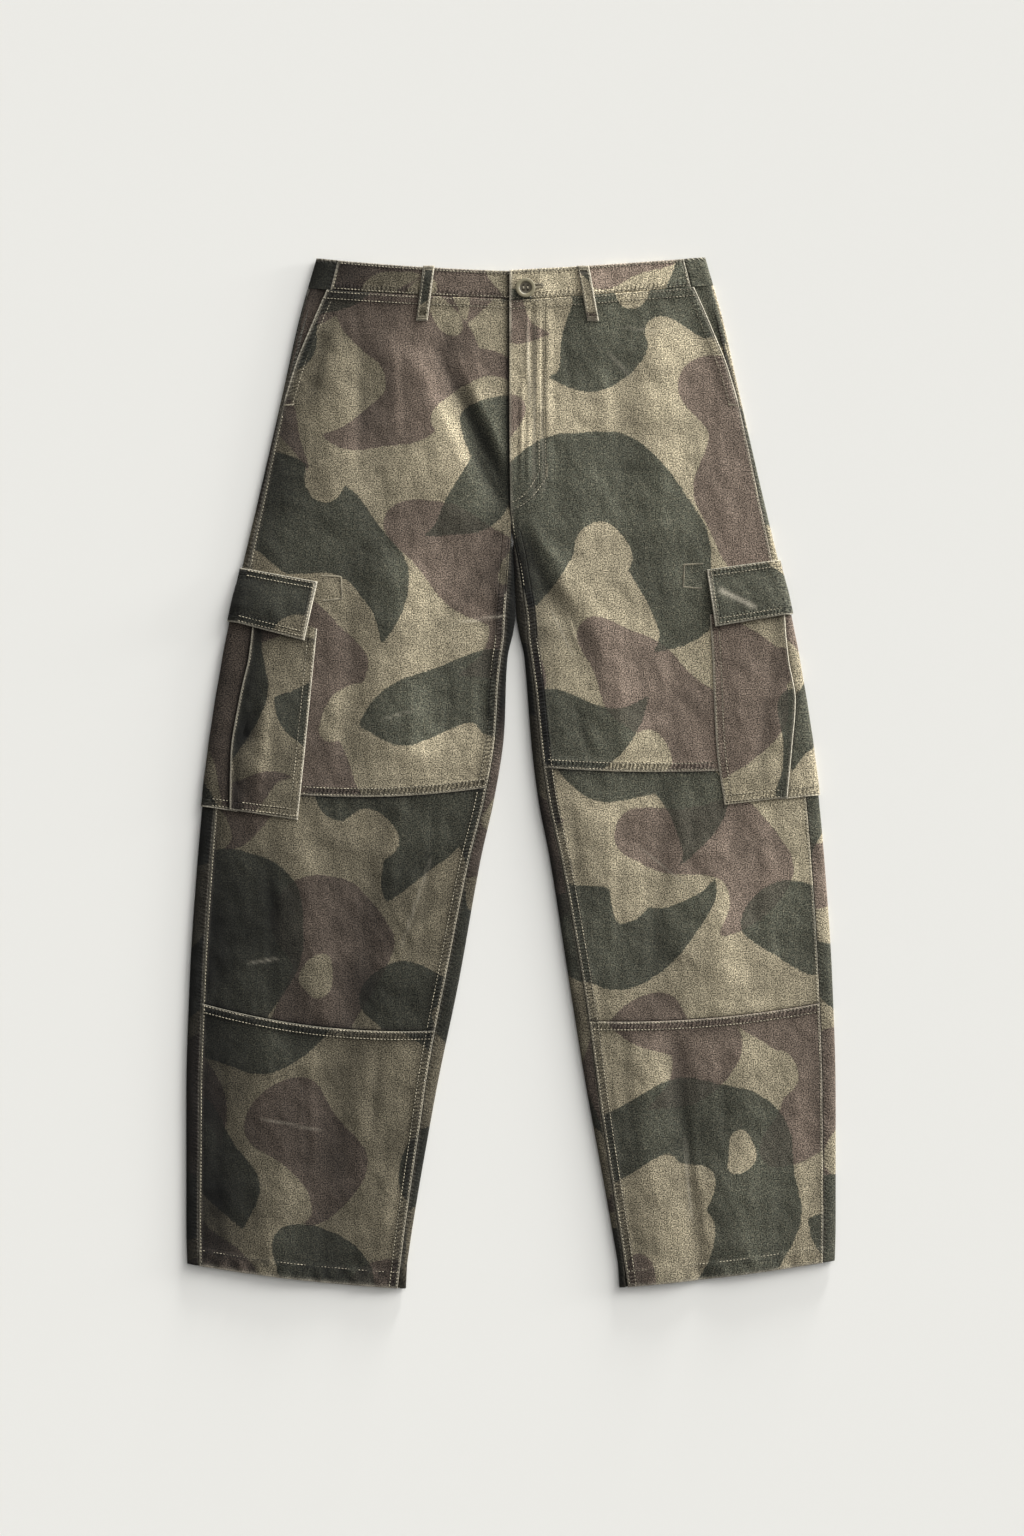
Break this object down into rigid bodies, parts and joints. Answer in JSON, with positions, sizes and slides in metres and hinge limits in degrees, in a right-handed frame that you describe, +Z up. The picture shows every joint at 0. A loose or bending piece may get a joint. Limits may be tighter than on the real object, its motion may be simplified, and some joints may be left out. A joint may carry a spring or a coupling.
{
  "type": "cargo pants",
  "caption": "Wide-leg camouflage cargo pants in washed twill, laid flat front up, with curved knee seams, slant pockets, flapped side pockets and a buttoned waistband.",
  "frame": {"origin": "bottom centre of the box round the garment, on the surface it lies on", "axes": "+Z up out of the garment's front, +Y towards the waist, +X towards the wearer's left leg"},
  "size_m": [0.649, 1.03, 0.0117],
  "materials": {
    "twill": "washed cotton twill printed with a camouflage in khaki, grey-green and brown",
    "button": "dull olive cast plastic"
  },
  "bodies": {
    "root": {"front_thigh_right": "twill", "front_knee_right": "twill", "front_shin_right": "twill", "back_right": "twill", "pocket_facing_right": "twill", "waistband_front_right": "twill", "belt_loop_front_right": "twill", "cargo_pocket_front_right": "twill", "cargo_pocket_rear_right": "twill", "cargo_flap_right": "twill", "front_thigh_left": "twill", "front_knee_left": "twill", "front_shin_left": "twill", "back_left": "twill", "pocket_facing_left": "twill", "waistband_front_left": "twill", "belt_loop_front_left": "twill", "cargo_pocket_front_left": "twill", "cargo_pocket_rear_left": "twill", "cargo_flap_left": "twill", "waistband_back": "twill", "belt_loop_back_right": "twill", "belt_loop_back_centre": "twill", "belt_loop_back_left": "twill", "waist_button": "button"}
  },
  "joints": []
}
